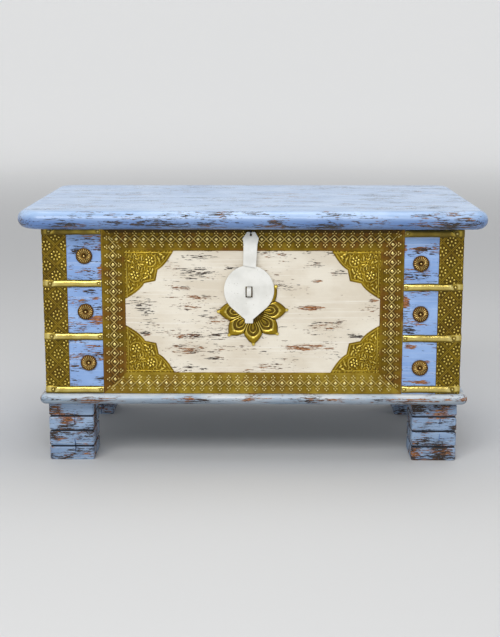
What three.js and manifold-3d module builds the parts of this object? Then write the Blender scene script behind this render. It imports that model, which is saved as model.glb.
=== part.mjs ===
// Painted wooden storage chest on four block feet, with a bullnose lid hinged at the back, embossed
// brass trim on the front and a hasp that swings from the lid and closes over a staple.
// Millimetres, +X to the right of a person facing the front, +Y to the back, +Z up.
// The origin is on the floor, under the middle of the lid.

import * as THREE from 'three';
import { mergeVertices } from 'three/addons/utils/BufferGeometryUtils.js';
import Module from 'manifold-3d';

const wasm = await Module();
wasm.setup();

// ---------------------------------------------------------------- driving dimensions

const gap = 0.3;                  // left wherever two pieces touch

const caseWidth = 720;
const caseDepth = 414;
const caseHeight = 292;
const boardThickness = 18;

const lidWidth = 795;
const lidDepth = 498;
const lidThickness = 31.2;
const lidCornerRadius = 36;
const lidFrontOverhang = 47.5;
const lidBoardCount = 3;
const haspShift = 4.5;            // the hasp hangs this far to the left of the lid's middle
const caseShift = 1.5;            // the lid sits this far to the left of the case's middle

const baseThickness = 17.7;
const baseWidth = 746;
const baseShift = 1.5;            // it reaches out further on the right
const baseOverhang = 11.5;
const baseCornerRadius = 12;
const baseBoardCount = 3;

const footSize = 79;
const footHeight = 107.7;
const footSetback = 16;           // from the case front and the case back
const footArris = 1.2;
const grooveHeights = [25, 53.5, 80];
const grooveWidth = 2.6;
const grooveDepth = 3;

const brassRelief = 2;            // sheet brass with its raised pattern
const cornerStripWidth = 41.5;
const borderOuterHalfWidth = 259.5;
const borderWidth = { side: 40.5, top: 40.5, bottom: 38 };
const spandrelLeg = 84;

const bandHeights = { left: [6.8, 101.5, 194.5, 285.2], right: [8.5, 99, 188.6, 281.5] };
const bandWidth = 13;
const bandRelief = 5.2;
const bandFlatRelief = 0.9;       // where the band is hammered flat round the corner
const bandFlatLength = 14;
const bandReturn = 24;            // along the side of the case

const rosettePlaces = {           // from the middle of the case outwards, and up
  left: [[284.8, 55], [288, 145.4], [288.5, 242.5]],
  right: [[290.4, 47], [289.2, 142], [288, 230]],
};
const rosetteRadius = 14.2;

const lotusHeight = 147.4;        // its centre above the bottom of the case
const lotusRadius = 61.8;
const lotusRelief = 3;

const battenSize = { x: 40, y: 330, z: 18 };
const battenX = 200;

const hingeX = 230;
const hingeLength = 60;
const hingeKnuckles = 5;
const barrelRadius = 3.4;
const leafThickness = 1.6;
const leafDrop = 36;
const leafReach = 29;
const pinRadius = 1.85;

const haspThickness = 2;
const plateBack = 3.9;            // distance of the hasp plate from the case front
const strapBack = 6.2;
const strapTop = 284.9;
const strapBottom = { left: 227.2, right: 223 };
const strapFootWidth = 22.4;
const strapWidth = 23.6;
const strapHeadWidth = 27.4;
const strapCrownWidth = 13.6;
const strapLean = 0.0436;         // it leans to the right by this much for each millimetre up
const strapShift = 0.92;          // of its middle line, at strapBottom.left
const discCentre = 184.2;
const discRadius = 43;
const tabBottom = 126.2;
const tabWidth = 14;
const slotWidth = 12;
const slotHeight = 19;
const slotCentre = 181;

const eyeWire = 0.9;
const eyeRadius = 3.6;
const eyeHeight = 283.4;          // centre of the eye above the bottom of the case
const eyeHoleRadius = 2;
const eyeShankDepth = 14;

const stapleWidth = 7.8;
const stapleHeight = 15;
const stapleCentre = 182;         // above the bottom of the case
const stapleBar = 2.8;
const stapleReach = 17;
const stapleDepth = 14;

// ---------------------------------------------------------------- places worked out from them

const caseFrontY = -lidDepth / 2 + lidFrontOverhang;
const caseBottomZ = footHeight + baseThickness + 2 * gap;
const caseSide = caseWidth / 2;
const caseBackY = caseDepth;
const borderInnerHalfWidth = borderOuterHalfWidth - borderWidth.side;
const haspX = -caseShift - haspShift;        // the hasp's middle in case coordinates
const strapMidPlane = strapBack + haspThickness / 2;
const lidUnderside = caseHeight + gap;
const strapMiddleAt = (z) => strapShift + strapLean * (z - strapBottom.left);
const eyeX = strapMiddleAt(eyeHeight - eyeRadius);   // from the middle of the hasp plate

// ---------------------------------------------------------------- materials

const paint = (name, color, roughness, metalness) => {
  const material = new THREE.MeshStandardMaterial({ color, roughness, metalness });
  material.name = name;
  return material;
};
const bluePaint = paint('blue_paint', 0x8fb0d8, 0.6, 0);
const blueLidPaint = paint('blue_lid_paint', 0xa9c2e2, 0.45, 0);
const whitePaint = paint('white_paint', 0xe2dcd3, 0.65, 0);
const whiteIron = paint('white_painted_iron', 0xebebe8, 0.45, 0);
const rawWood = paint('raw_wood', 0x8a6644, 0.75, 0);
const embossedBrass = paint('embossed_brass', 0x8a6a22, 0.4, 0.9);
const roundBrass = paint('round_brass', 0xb79a4a, 0.3, 0.9);
const copperBrass = paint('copper_brass', 0x7d5a35, 0.4, 0.9);
const steel = paint('plain_steel', 0x8c8c8a, 0.4, 0.9);

// ---------------------------------------------------------------- shape helpers

function toSolid(geometry) {
  const plain = geometry.clone();
  plain.deleteAttribute('normal');
  plain.deleteAttribute('uv');
  const merged = mergeVertices(plain, 1e-4);
  const vertProperties = new Float32Array(merged.attributes.position.array);
  const triVerts = new Uint32Array(merged.index.array);
  return new wasm.Manifold(new wasm.Mesh({ numProp: 3, vertProperties, triVerts }));
}

function toGeometry(solid) {
  const mesh = solid.getMesh();
  const geometry = new THREE.BufferGeometry();
  geometry.setAttribute('position', new THREE.BufferAttribute(new Float32Array(mesh.vertProperties), 3));
  geometry.setIndex(new THREE.BufferAttribute(new Uint32Array(mesh.triVerts), 1));
  geometry.computeVertexNormals();
  return geometry;
}

function block(x0, x1, y0, y1, z0, z1) {
  const geometry = new THREE.BoxGeometry(x1 - x0, y1 - y0, z1 - z0);
  geometry.translate((x0 + x1) / 2, (y0 + y1) / 2, (z0 + z1) / 2);
  return geometry;
}

// A closed skin through rings of [x, y, z] points, each ring convex and with the same count.
function loft(rings) {
  const count = rings[0].length;
  const positions = rings.flat(2);
  const triangles = [];
  for (let ring = 0; ring < rings.length - 1; ring += 1) {
    for (let i = 0; i < count; i += 1) {
      const a = ring * count + i;
      const b = ring * count + ((i + 1) % count);
      triangles.push([a, b, b + count], [a, b + count, a + count]);
    }
  }
  const last = (rings.length - 1) * count;
  for (let i = 1; i < count - 1; i += 1) {
    triangles.push([0, i + 1, i], [last, last + i, last + i + 1]);
  }
  const corner = (index) => new THREE.Vector3().fromArray(positions, index * 3);
  let volume = 0;
  for (const [a, b, c] of triangles) {
    volume += corner(a).dot(corner(b).cross(corner(c)));
  }
  if (volume < 0) {
    triangles.forEach((triangle) => triangle.reverse());
  }
  const geometry = new THREE.BufferGeometry();
  geometry.setAttribute('position', new THREE.Float32BufferAttribute(positions, 3));
  geometry.setIndex(triangles.flat());
  geometry.computeVertexNormals();
  return geometry;
}

// The plan outline of a board with rounded corners, drawn in by inset.
function roundedOutline(width, depth, radius, inset, z) {
  const steps = 6;
  const r = radius - inset;
  const outline = [];
  for (let quarter = 0; quarter < 4; quarter += 1) {
    const cx = (quarter === 0 || quarter === 3 ? 1 : -1) * (width / 2 - radius);
    const cy = (quarter < 2 ? 1 : -1) * (depth / 2 - radius);
    for (let i = 0; i <= steps; i += 1) {
      const angle = (quarter + i / steps) * Math.PI / 2;
      outline.push([cx + r * Math.cos(angle), cy + r * Math.sin(angle), z]);
    }
  }
  return outline;
}

// A panel whose whole edge is a half round, centred on the origin in plan, from z = 0 up.
function bullnosePanel(width, depth, thickness, cornerRadius) {
  const levels = 8;
  const r = thickness / 2;
  const rings = [];
  for (let i = 0; i <= levels; i += 1) {
    const angle = (i / levels - 0.5) * Math.PI;
    rings.push(roundedOutline(width, depth, cornerRadius, r * (1 - Math.cos(angle)), r + r * Math.sin(angle)));
  }
  return loft(rings);
}

// One of the boards that a panel is made of, counted from the front.
function panelBoard(panel, width, depth, thickness, count, index) {
  const y0 = -depth / 2 + (index * depth) / count;
  const y1 = y0 + depth / count;
  const front = index === 0 ? y0 - 1 : y0 + gap / 2;
  const back = index === count - 1 ? y1 + 1 : y1 - gap / 2;
  const cutter = block(-width / 2 - 1, width / 2 + 1, front, back, -1, thickness + 1);
  return toSolid(panel).intersect(toSolid(cutter));
}

// A plate on the case front: its outline is drawn in X and Z, its back is at distance back.
function frontPlate(shape, back, thickness, curveSegments = 6) {
  const geometry = new THREE.ExtrudeGeometry(shape, { depth: thickness, bevelEnabled: false, curveSegments });
  geometry.rotateX(Math.PI / 2);
  geometry.translate(0, -back, 0);
  return geometry;
}

function polygon(points) {
  return new THREE.Shape(points.map(([x, y]) => new THREE.Vector2(x, y)));
}

// A cylinder along X, between x0 and x1, centred on y = 0 and z = 0.
function rodAlongX(radius, x0, x1) {
  const geometry = new THREE.CylinderGeometry(radius, radius, x1 - x0, 16);
  geometry.rotateZ(Math.PI / 2);
  geometry.translate((x0 + x1) / 2, 0, 0);
  return geometry;
}

function part(name, geometry, material, parent) {
  const mesh = new THREE.Mesh(geometry, material);
  mesh.name = name;
  parent.add(mesh);
  return mesh;
}

// ---------------------------------------------------------------- groups

// Case coordinates: x from the middle of the case, y from its front face, z from its bottom edge.
const chest = new THREE.Group();
const caseGroup = new THREE.Group();
caseGroup.position.set(caseShift, caseFrontY, caseBottomZ);
chest.add(caseGroup);

// Hasp coordinates: as the case's, but with x from the middle of the hasp plate.
const haspGroup = new THREE.Group();
haspGroup.position.set(-haspShift, caseFrontY, caseBottomZ);
chest.add(haspGroup);

// Lid coordinates: x and y from the middle of the lid, z from its underside.
const lidGroup = new THREE.Group();
lidGroup.position.set(0, 0, caseBottomZ + lidUnderside);
chest.add(lidGroup);

// ---------------------------------------------------------------- case

function addCaseBoards() {
  const legHole = (z) => block(
    haspX - stapleWidth / 2 - gap, haspX + stapleWidth / 2 + gap,
    -1, stapleDepth + gap,
    z - gap, z + stapleBar + gap,
  );
  const lowLeg = stapleCentre - stapleHeight / 2;
  const highLeg = stapleCentre + stapleHeight / 2 - stapleBar;
  const frontBoard = toSolid(block(-caseSide, caseSide, 0, boardThickness, 0, caseHeight))
    .subtract(toSolid(legHole(lowLeg)))
    .subtract(toSolid(legHole(highLeg)));
  part('front_board', toGeometry(frontBoard), whitePaint, caseGroup);
  part('back_board', block(-caseSide, caseSide, caseBackY - boardThickness, caseBackY, 0, caseHeight),
    bluePaint, caseGroup);
  const endFront = boardThickness + gap;
  const endBack = caseBackY - boardThickness - gap;
  part('left_end_board', block(-caseSide, -caseSide + boardThickness, endFront, endBack, 0, caseHeight),
    bluePaint, caseGroup);
  part('right_end_board', block(caseSide - boardThickness, caseSide, endFront, endBack, 0, caseHeight),
    bluePaint, caseGroup);
}

function addBaseBoards() {
  const depth = caseDepth + 2 * baseOverhang;
  const panel = bullnosePanel(baseWidth, depth, baseThickness, baseCornerRadius);
  const names = ['base_board_front', 'base_board_middle', 'base_board_back'];
  names.forEach((name, index) => {
    const solid = panelBoard(panel, baseWidth, depth, baseThickness, baseBoardCount, index);
    const mesh = part(name, toGeometry(solid), bluePaint, caseGroup);
    mesh.position.set(baseShift, caseDepth / 2, -baseThickness - gap);
  });
}

// Heights and insets of a foot's outline, from the sole up: eased edges and sawn grooves.
function footLevels() {
  const levels = [[0, footArris], [footArris, 0]];
  for (const height of grooveHeights) {
    const low = height - grooveWidth / 2;
    const high = height + grooveWidth / 2;
    levels.push([low - footArris, 0], [low, footArris], [low, grooveDepth]);
    levels.push([high, grooveDepth], [high, footArris], [high + footArris, 0]);
  }
  levels.push([footHeight, 0]);
  return levels;
}

function footGeometry() {
  return loft(footLevels().map(([z, inset]) => {
    const h = footSize / 2 - inset;
    const c = h - footArris;
    return [[h, -c], [h, c], [c, h], [-c, h], [-h, c], [-h, -c], [-c, -h], [c, -h]].map(([x, y]) => [x, y, z]);
  }));
}

function addFeet() {
  const soleZ = -baseThickness - 2 * gap - footHeight;
  const x = caseSide - footSize / 2;
  const frontY = footSetback + footSize / 2;
  const backY = caseDepth - frontY;
  const feet = [
    ['front_left_foot', -x, frontY],
    ['front_right_foot', x, frontY],
    ['back_left_foot', -x, backY],
    ['back_right_foot', x, backY],
  ];
  for (const [name, footX, footY] of feet) {
    part(name, footGeometry(), bluePaint, caseGroup).position.set(footX, footY, soleZ);
  }
}

// ---------------------------------------------------------------- brass on the case

// Points on a path that runs along the front to the corner and back along the side of the case:
// at is the distance from the corner, negative on the front, and out the distance from the wood.
function cornerPoint(side, at, out, z) {
  if (at < 0) {
    return [side * (caseSide + at), -out, z];
  }
  return [side * (caseSide + out), at === 0 ? -out : at, z];
}

function addCornerStrip(name, side) {
  const section = [[gap, 0], [gap + brassRelief, 0], [gap + brassRelief, caseHeight], [gap, caseHeight]];
  const stops = [-cornerStripWidth, 0, cornerStripWidth];
  const rings = stops.map((at) => section.map(([out, z]) => cornerPoint(side, at, out, z)));
  part(name, loft(rings), embossedBrass, caseGroup);
}

// A half-round band: it lies on the paint near the border, steps over the corner strip and is
// flattened where it folds round the corner.
function addBand(name, side, height) {
  const overStrip = 2 * gap + brassRelief;
  const crown = overStrip + bandRelief;
  const flat = overStrip + bandFlatRelief;
  const innerEnd = -(caseSide - borderOuterHalfWidth - gap);
  const stripEdge = -(cornerStripWidth + gap);
  const stops = [
    [innerEnd, gap, crown],
    [stripEdge - gap, gap, crown],
    [stripEdge, overStrip, crown],
    [-bandFlatLength - 8, overStrip, crown],
    [-bandFlatLength, overStrip, flat],
    [0, overStrip, flat],
    [bandReturn, overStrip, flat],
  ];
  const steps = 8;
  const rings = stops.map(([at, base, top]) => {
    const ring = [];
    for (let i = 0; i <= steps; i += 1) {
      const angle = (i / steps) * Math.PI;
      const out = base + (top - base) * Math.sin(angle);
      ring.push(cornerPoint(side, at, out, height - (bandWidth / 2) * Math.cos(angle)));
    }
    return ring;
  });
  part(name, loft(rings), roundBrass, caseGroup);
}

function addRosette(name, x, height) {
  const r = rosetteRadius;
  const profile = [[0, 0], [r, 0], [r, 0.9], [r * 0.84, 2.4], [r * 0.42, 3.2], [2.2, 3.2], [2.2, 4.4], [0, 5]];
  const geometry = new THREE.LatheGeometry(profile.map(([a, b]) => new THREE.Vector2(a, b)), 20);
  geometry.rotateX(Math.PI);
  geometry.translate(x, -gap, height);
  part(name, geometry, copperBrass, caseGroup);
}

function addBorder() {
  const outer = borderOuterHalfWidth;
  const inner = borderInnerHalfWidth;
  const top = caseHeight;
  const low = borderWidth.bottom;
  const high = caseHeight - borderWidth.top;
  const m = gap / 2;              // half the gap at each mitre
  const strips = {
    border_top: [[-outer + m, top], [-inner + m, high], [inner - m, high], [outer - m, top]],
    border_bottom: [[-outer + m, 0], [outer - m, 0], [inner - m, low], [-inner + m, low]],
    border_left: [[-outer, m], [-inner, low + m], [-inner, high - m], [-outer, top - m]],
    border_right: [[outer, m], [outer, top - m], [inner, high - m], [inner, low + m]],
  };
  for (const [name, points] of Object.entries(strips)) {
    part(name, frontPlate(polygon(points), gap, brassRelief), embossedBrass, caseGroup);
  }
}

// A quarter ornament: straight along the border, with a bowed lobe on each leg and a square lobe between.
function spandrelShape() {
  const leg = spandrelLeg;
  const shape = new THREE.Shape();
  shape.moveTo(0, 0);
  shape.lineTo(leg, 0);
  shape.quadraticCurveTo(69.5, 26.5, 56.5, 33);
  shape.lineTo(52.5, 52.5);
  shape.lineTo(33, 56.5);
  shape.quadraticCurveTo(26.5, 69.5, 0, leg);
  shape.closePath();
  return shape;
}

function addSpandrels() {
  const x = borderInnerHalfWidth - gap;
  const low = borderWidth.bottom + gap;
  const high = caseHeight - borderWidth.top - gap;
  const corners = [
    ['spandrel_lower_left', -x, low, 0],
    ['spandrel_lower_right', x, low, 1],
    ['spandrel_upper_right', x, high, 2],
    ['spandrel_upper_left', -x, high, 3],
  ];
  for (const [name, cx, cz, quarters] of corners) {
    const geometry = frontPlate(spandrelShape(), 0, brassRelief);
    geometry.rotateY(-quarters * Math.PI / 2);
    geometry.translate(cx, -gap, cz);
    part(name, geometry, embossedBrass, caseGroup);
  }
}

function lotusShape() {
  const petals = 8;
  const at = (radius, degrees) => {
    const angle = THREE.MathUtils.degToRad(degrees);
    return [radius * Math.cos(angle), radius * Math.sin(angle)];
  };
  const valley = lotusRadius * 0.7;
  const shoulder = lotusRadius * 0.88;
  const halfPetal = 180 / petals;
  const shape = new THREE.Shape();
  shape.moveTo(...at(valley, -halfPetal));
  for (let petal = 0; petal < petals; petal += 1) {
    const middle = petal * 2 * halfPetal;
    shape.quadraticCurveTo(...at(shoulder, middle - 16), ...at(shoulder, middle - 4));
    shape.lineTo(...at(lotusRadius, middle - 2));
    shape.lineTo(...at(lotusRadius, middle + 2));
    shape.lineTo(...at(shoulder, middle + 4));
    shape.quadraticCurveTo(...at(shoulder, middle + 16), ...at(valley, middle + halfPetal));
  }
  return shape;
}

function addLotus() {
  const plate = frontPlate(lotusShape(), gap, lotusRelief, 4);
  plate.translate(0, 0, lotusHeight);
  const stapleHole = block(
    haspX - stapleWidth / 2 - gap, haspX + stapleWidth / 2 + gap,
    -lotusRelief - 2, 2,
    stapleCentre - stapleHeight / 2 - gap, stapleCentre + stapleHeight / 2 + gap,
  );
  part('lotus_ornament', toGeometry(toSolid(plate).subtract(toSolid(stapleHole))), embossedBrass, caseGroup);
}

// A flat bar bent to a U that lies on its side, with both legs driven into the front board.
function addStaple() {
  const h = stapleHeight / 2;
  const b = stapleBar;
  const round = 3;
  const shape = new THREE.Shape();
  shape.moveTo(stapleDepth, -h);
  shape.lineTo(-stapleReach + round, -h);
  shape.quadraticCurveTo(-stapleReach, -h, -stapleReach, -h + round);
  shape.lineTo(-stapleReach, h - round);
  shape.quadraticCurveTo(-stapleReach, h, -stapleReach + round, h);
  shape.lineTo(stapleDepth, h);
  shape.lineTo(stapleDepth, h - b);
  shape.lineTo(-stapleReach + b, h - b);
  shape.lineTo(-stapleReach + b, -h + b);
  shape.lineTo(stapleDepth, -h + b);
  shape.closePath();
  const geometry = new THREE.ExtrudeGeometry(shape, { depth: stapleWidth, bevelEnabled: false, curveSegments: 4 });
  geometry.rotateY(Math.PI / 2);
  geometry.rotateX(Math.PI / 2);
  geometry.translate(-stapleWidth / 2, 0, stapleCentre);
  part('staple', geometry, whiteIron, haspGroup);
}

// ---------------------------------------------------------------- lid

function addLid() {
  const panel = bullnosePanel(lidWidth, lidDepth, lidThickness, lidCornerRadius);
  const shankHole = new THREE.CylinderGeometry(eyeWire + gap, eyeWire + gap, 2 * (eyeShankDepth + gap), 12);
  shankHole.rotateX(Math.PI / 2);
  shankHole.translate(eyeX - haspShift, caseFrontY - strapMidPlane, 0);
  const names = ['lid_board_front', 'lid_board_middle', 'lid_board_back'];
  names.forEach((name, index) => {
    let solid = panelBoard(panel, lidWidth, lidDepth, lidThickness, lidBoardCount, index);
    if (index === 0) {
      solid = solid.subtract(toSolid(shankHole));
    }
    part(name, toGeometry(solid), blueLidPaint, lidGroup);
  });
  for (const [name, side] of [['lid_batten_left', -1], ['lid_batten_right', 1]]) {
    const { x, y, z } = battenSize;
    const geometry = block(-x / 2, x / 2, -y / 2, y / 2, -z - gap, -gap);
    part(name, geometry, rawWood, lidGroup).position.x = caseShift + side * battenX;
  }
}

// A ring in the YZ plane with a straight shank up into the lid.
function addHaspEye() {
  const ring = new THREE.TorusGeometry(eyeRadius, eyeWire, 8, 20);
  ring.rotateY(Math.PI / 2);
  const shankTop = lidUnderside - eyeHeight + eyeShankDepth;
  const shank = new THREE.CylinderGeometry(eyeWire, eyeWire, shankTop - eyeRadius, 12);
  shank.rotateX(Math.PI / 2);
  shank.translate(0, 0, (shankTop + eyeRadius) / 2);
  const mesh = part('hasp_eye', toGeometry(toSolid(ring).add(toSolid(shank))), whiteIron, haspGroup);
  mesh.position.set(eyeX, -strapMidPlane, eyeHeight);
}

// ---------------------------------------------------------------- hinges at the back

// Hinge coordinates: the origin is the middle of the pin, which runs along X.
function knuckle(index) {
  const pitch = hingeLength / hingeKnuckles;
  const x0 = -hingeLength / 2 + index * pitch + gap / 2;
  return [x0, x0 + pitch - gap];
}

function leafWithKnuckles(plate, web, firstKnuckle) {
  let solid = toSolid(plate);
  for (let index = firstKnuckle; index < hingeKnuckles; index += 2) {
    const [x0, x1] = knuckle(index);
    solid = solid.add(toSolid(rodAlongX(barrelRadius, x0, x1))).add(toSolid(web(x0, x1)));
  }
  const bore = rodAlongX(pinRadius + gap, -hingeLength, hingeLength);
  return toGeometry(solid.subtract(toSolid(bore)));
}

function caseLeaf() {
  const back = -barrelRadius;
  const front = back + leafThickness;
  const clear = barrelRadius + 3 * gap;
  const half = hingeLength / 2;
  const plate = block(-half, half, back, front, -leafDrop, -clear);
  return leafWithKnuckles(plate, (x0, x1) => block(x0, x1, back, front, -clear - 1, 0), 0);
}

function lidLeaf() {
  const top = barrelRadius;
  const bottom = top - leafThickness;
  const clear = barrelRadius + 3 * gap;
  const half = hingeLength / 2;
  const plate = block(-half, half, clear, leafReach, bottom, top);
  return leafWithKnuckles(plate, (x0, x1) => block(x0, x1, 0, clear + 1, bottom, top), 1);
}

function pinGeometry() {
  const half = hingeLength / 2 + gap;
  const head = 1.3;
  const r = pinRadius;
  const headRadius = 2.9;
  const profile = [
    [0, -half - head], [headRadius * 0.7, -half - head], [headRadius, -half - head / 2], [headRadius, -half],
    [r, -half], [r, half],
    [headRadius, half], [headRadius, half + head / 2], [headRadius * 0.7, half + head], [0, half + head],
  ];
  const geometry = new THREE.LatheGeometry(profile.map(([a, b]) => new THREE.Vector2(a, b)), 16);
  geometry.rotateZ(-Math.PI / 2);
  return geometry;
}

function addHinges() {
  for (const [name, side] of [['left', -1], ['right', 1]]) {
    const hinge = new THREE.Group();
    hinge.position.set(side * hingeX, caseBackY + gap + barrelRadius, lidUnderside - gap - barrelRadius);
    caseGroup.add(hinge);
    part(`${name}_hinge_case_leaf`, caseLeaf(), steel, hinge);
    part(`${name}_hinge_lid_leaf`, lidLeaf(), steel, hinge);
    part(`${name}_hinge_pin`, pinGeometry(), steel, hinge);
  }
}

// ---------------------------------------------------------------- hasp

function addHaspStrap() {
  const headHeight = strapTop - 11;
  const neckHeight = strapTop - 22;
  const head = strapHeadWidth / 2;
  const neck = strapWidth / 2;
  const foot = strapFootWidth / 2;
  const crown = strapCrownWidth / 2;
  const outline = [
    [-foot, strapBottom.left], [foot, strapBottom.right], [neck, neckHeight], [head, headHeight],
    [crown, strapTop], [-crown, strapTop], [-head, headHeight], [-neck, neckHeight],
  ];
  const shape = polygon(outline.map(([x, z]) => [strapMiddleAt(z) + x, z]));
  const hole = new THREE.Path();
  hole.absarc(eyeX, eyeHeight - eyeRadius, eyeHoleRadius, 0, 2 * Math.PI, true);
  shape.holes.push(hole);
  part('hasp_strap', frontPlate(shape, strapBack, haspThickness), whiteIron, haspGroup);
}

// A disc that runs down in two straight flanks to a small tab, with a slot for the staple.
function addHaspPlate() {
  const flankAngle = THREE.MathUtils.degToRad(-45);
  const tabTop = tabBottom + 7;
  const shape = new THREE.Shape();
  shape.moveTo(tabWidth / 2, tabBottom);
  shape.lineTo(tabWidth / 2, tabTop);
  shape.absarc(0, discCentre, discRadius, flankAngle, Math.PI - flankAngle, false);
  shape.lineTo(-tabWidth / 2, tabTop);
  shape.lineTo(-tabWidth / 2, tabBottom);
  shape.closePath();
  const w = slotWidth / 2;
  const h = slotHeight / 2;
  const slot = [[-w, slotCentre - h], [-w, slotCentre + h], [w, slotCentre + h], [w, slotCentre - h]];
  shape.holes.push(new THREE.Path(slot.map(([x, y]) => new THREE.Vector2(x, y))));
  part('hasp_plate', frontPlate(shape, plateBack, haspThickness, 28), whiteIron, haspGroup);
}

// ---------------------------------------------------------------- the whole chest

addCaseBoards();
addBaseBoards();
addFeet();
addBorder();
addSpandrels();
addLotus();
for (const [name, side] of [['left', -1], ['right', 1]]) {
  addCornerStrip(`${name}_corner_strip`, side);
  bandHeights[name].forEach((height, index) => addBand(`${name}_band_${index + 1}`, side, height));
  rosettePlaces[name].forEach(([x, z], index) => addRosette(`${name}_rosette_${index + 1}`, side * x, z));
}
addStaple();
addLid();
addHaspEye();
addHinges();
addHaspStrap();
addHaspPlate();

export default chest;
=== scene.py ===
"""The looks of a painted wooden chest with embossed brass trim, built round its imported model.
Pattern and outline functions work in millimetres; everything placed in the scene is in metres."""
import math
from functools import reduce

import bmesh
import bpy
import numpy as np
from mathutils import Matrix, Vector


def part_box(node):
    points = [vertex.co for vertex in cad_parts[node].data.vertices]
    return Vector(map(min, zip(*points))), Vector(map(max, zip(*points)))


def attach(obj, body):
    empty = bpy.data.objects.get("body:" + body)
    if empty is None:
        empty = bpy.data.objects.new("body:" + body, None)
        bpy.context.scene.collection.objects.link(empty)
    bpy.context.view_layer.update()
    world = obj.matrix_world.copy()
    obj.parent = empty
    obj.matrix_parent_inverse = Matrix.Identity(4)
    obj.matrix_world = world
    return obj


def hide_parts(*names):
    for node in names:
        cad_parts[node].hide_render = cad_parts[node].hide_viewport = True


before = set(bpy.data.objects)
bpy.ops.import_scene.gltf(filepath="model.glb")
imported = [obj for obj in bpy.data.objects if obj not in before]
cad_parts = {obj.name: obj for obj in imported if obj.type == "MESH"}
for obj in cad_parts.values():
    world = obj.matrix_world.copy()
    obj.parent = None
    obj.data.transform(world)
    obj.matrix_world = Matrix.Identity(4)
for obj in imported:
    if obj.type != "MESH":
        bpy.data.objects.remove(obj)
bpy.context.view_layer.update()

MM = 0.001
GRID = 0.75                     # spacing of the points of the raised brass patterns, in millimetres
SHARP_EDGE = math.radians(40)   # the shading breaks where faces meet at more than this
CORNER_REACH = 41.5             # how far the brass corner strips reach from the case's corner, both ways
BAND_RETURN = 24                # how far the bands run back along the ends of the case
NAIL_IN, NAIL_OUT = 4.0, 12.0   # a band's nails: from its inner end, and from the case's corner

# ---- places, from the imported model

board_low, board_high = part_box("front_board")
FACE = board_low.y
MIDDLE = (board_low.x + board_high.x) / 2
BOTTOM = board_low.z
CASE_HALF = (board_high.x - board_low.x) / 2 / MM
CASE_HEIGHT = (board_high.z - board_low.z) / MM


def on_front(x, out, z):
    """Case front coordinates in millimetres (from its middle, out from the wood, up) to the row frame."""
    x, out, z = np.broadcast_arrays(np.asarray(x, float), out, z)
    return np.stack([MIDDLE + x * MM, FACE - out * MM, BOTTOM + z * MM], axis=-1)


def front_box(node):
    """A node's box in case front coordinates: left, right, low, high."""
    low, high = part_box(node)
    return (low.x - MIDDLE) / MM, (high.x - MIDDLE) / MM, (low.z - BOTTOM) / MM, (high.z - BOTTOM) / MM


# ---- numbers that vary smoothly

def wobble(seed, *coordinates, size=40.0):
    """Smooth noise between about -1 and 1, from a few sines in seeded directions."""
    rng = np.random.default_rng(seed)
    total = 0.0
    for _ in range(7):
        direction = rng.normal(size=len(coordinates))
        direction *= rng.uniform(0.6, 1.8) * 2 * math.pi / size / np.linalg.norm(direction)
        phase = sum(d * c for d, c in zip(direction, coordinates)) + rng.uniform(0, 2 * math.pi)
        total = total + np.sin(phase)
    return total / 3.0


def dome(distance, radius):
    """1 on the middle line of a bead or ridge, round, and 0 from its edge outwards."""
    return np.sqrt(np.clip(1 - (distance / radius) ** 2, 0, 1))


def step(value, low, high):
    t = np.clip((value - low) / (high - low), 0, 1)
    return t * t * (3 - 2 * t)


def softened(heights, rounds=3):
    """The same heights with sharp steps smoothed over a few grid points."""
    for _ in range(rounds):
        for axis in (0, 1):
            heights = (np.roll(heights, 1, axis) + np.roll(heights, -1, axis) + 2 * heights) / 4
    return heights


# ---- meshes

def finished(name, mesh, material, body, nodes=(), slot=None):
    """Links a piece, gives it its material, puts it on the body it rides on and hides the nodes it replaces.
    """
    mesh.shade_smooth()
    mesh.set_sharp_from_angle(angle=SHARP_EDGE)
    mesh.materials.clear()
    mesh.materials.append(material)
    piece = bpy.data.objects.new(name, mesh)
    bpy.context.scene.collection.objects.link(piece)
    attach(piece, body)
    if nodes:
        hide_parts(*nodes)


def repainted(node, material):
    """Gives a node that is carried over from the CAD its material."""
    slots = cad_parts[node].data.materials
    slots.clear()
    slots.append(material)


def mesh_of(name, points, faces, **attributes):
    mesh = bpy.data.meshes.new(name)
    mesh.from_pydata(points, [], faces)
    bm = bmesh.new()
    bm.from_mesh(mesh)
    bmesh.ops.recalc_face_normals(bm, faces=bm.faces)
    bm.to_mesh(mesh)
    bm.free()
    for key, values in attributes.items():
        layer = mesh.attributes.new(key, "FLOAT", "POINT")
        layer.data.foreach_set("value", np.asarray(values, np.float32))
    return mesh


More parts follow.
